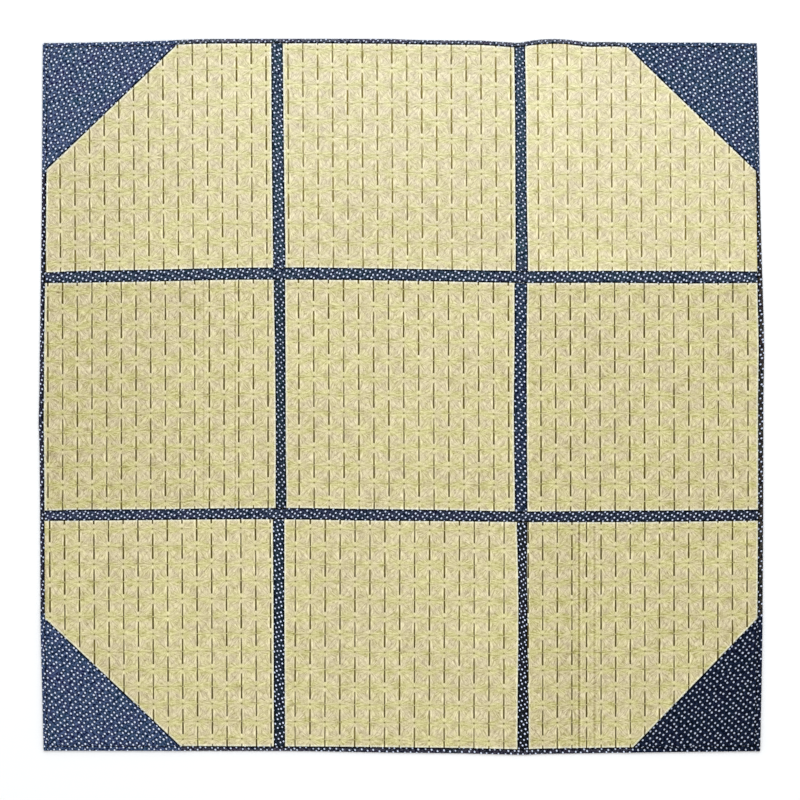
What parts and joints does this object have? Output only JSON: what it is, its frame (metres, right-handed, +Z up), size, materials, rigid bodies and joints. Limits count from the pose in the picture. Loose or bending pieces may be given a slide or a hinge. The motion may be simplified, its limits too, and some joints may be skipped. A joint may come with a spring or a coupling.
{
  "type": "tatami mat",
  "caption": "Square woven-rush floor mat of joined panels with dotted cotton joining strips, folded edge binding and triangular corner patches.",
  "frame": {"origin": "middle of the underside, on the surface the mat lies on", "axes": "+Z up out of the upper face, +X across the mat to its right side, +Y to its back edge"},
  "size_m": [1.814, 1.79, 0.0065],
  "materials": {
    "rush": "dry woven rush, softly glossy along the stems",
    "strip_cotton": "matt navy cotton with small pale dots",
    "edge_cotton": "matt dark navy cotton with small pale dots",
    "corner_cotton": "matt slate-navy cotton with small pale dots"
  },
  "bodies": {
    "root": {"panel_back_left": "rush", "panel_back_centre": "rush", "panel_back_right": "rush", "panel_middle_left": "rush", "panel_middle_centre": "rush", "panel_middle_right": "rush", "panel_front_left": "rush", "panel_front_centre": "rush", "panel_front_right": "rush", "long_strip_back": "strip_cotton", "long_strip_front": "strip_cotton", "short_strip_back_left": "strip_cotton", "short_strip_back_right": "strip_cotton", "short_strip_middle_left": "strip_cotton", "short_strip_middle_right": "strip_cotton", "short_strip_front_left": "strip_cotton", "short_strip_front_right": "strip_cotton", "edge_binding_left": "edge_cotton", "edge_binding_right": "edge_cotton", "edge_binding_back": "edge_cotton", "edge_binding_front": "edge_cotton", "corner_patch_back_left": "corner_cotton", "corner_patch_back_right": "corner_cotton", "corner_patch_front_left": "corner_cotton", "corner_patch_front_right": "corner_cotton"}
  },
  "joints": []
}
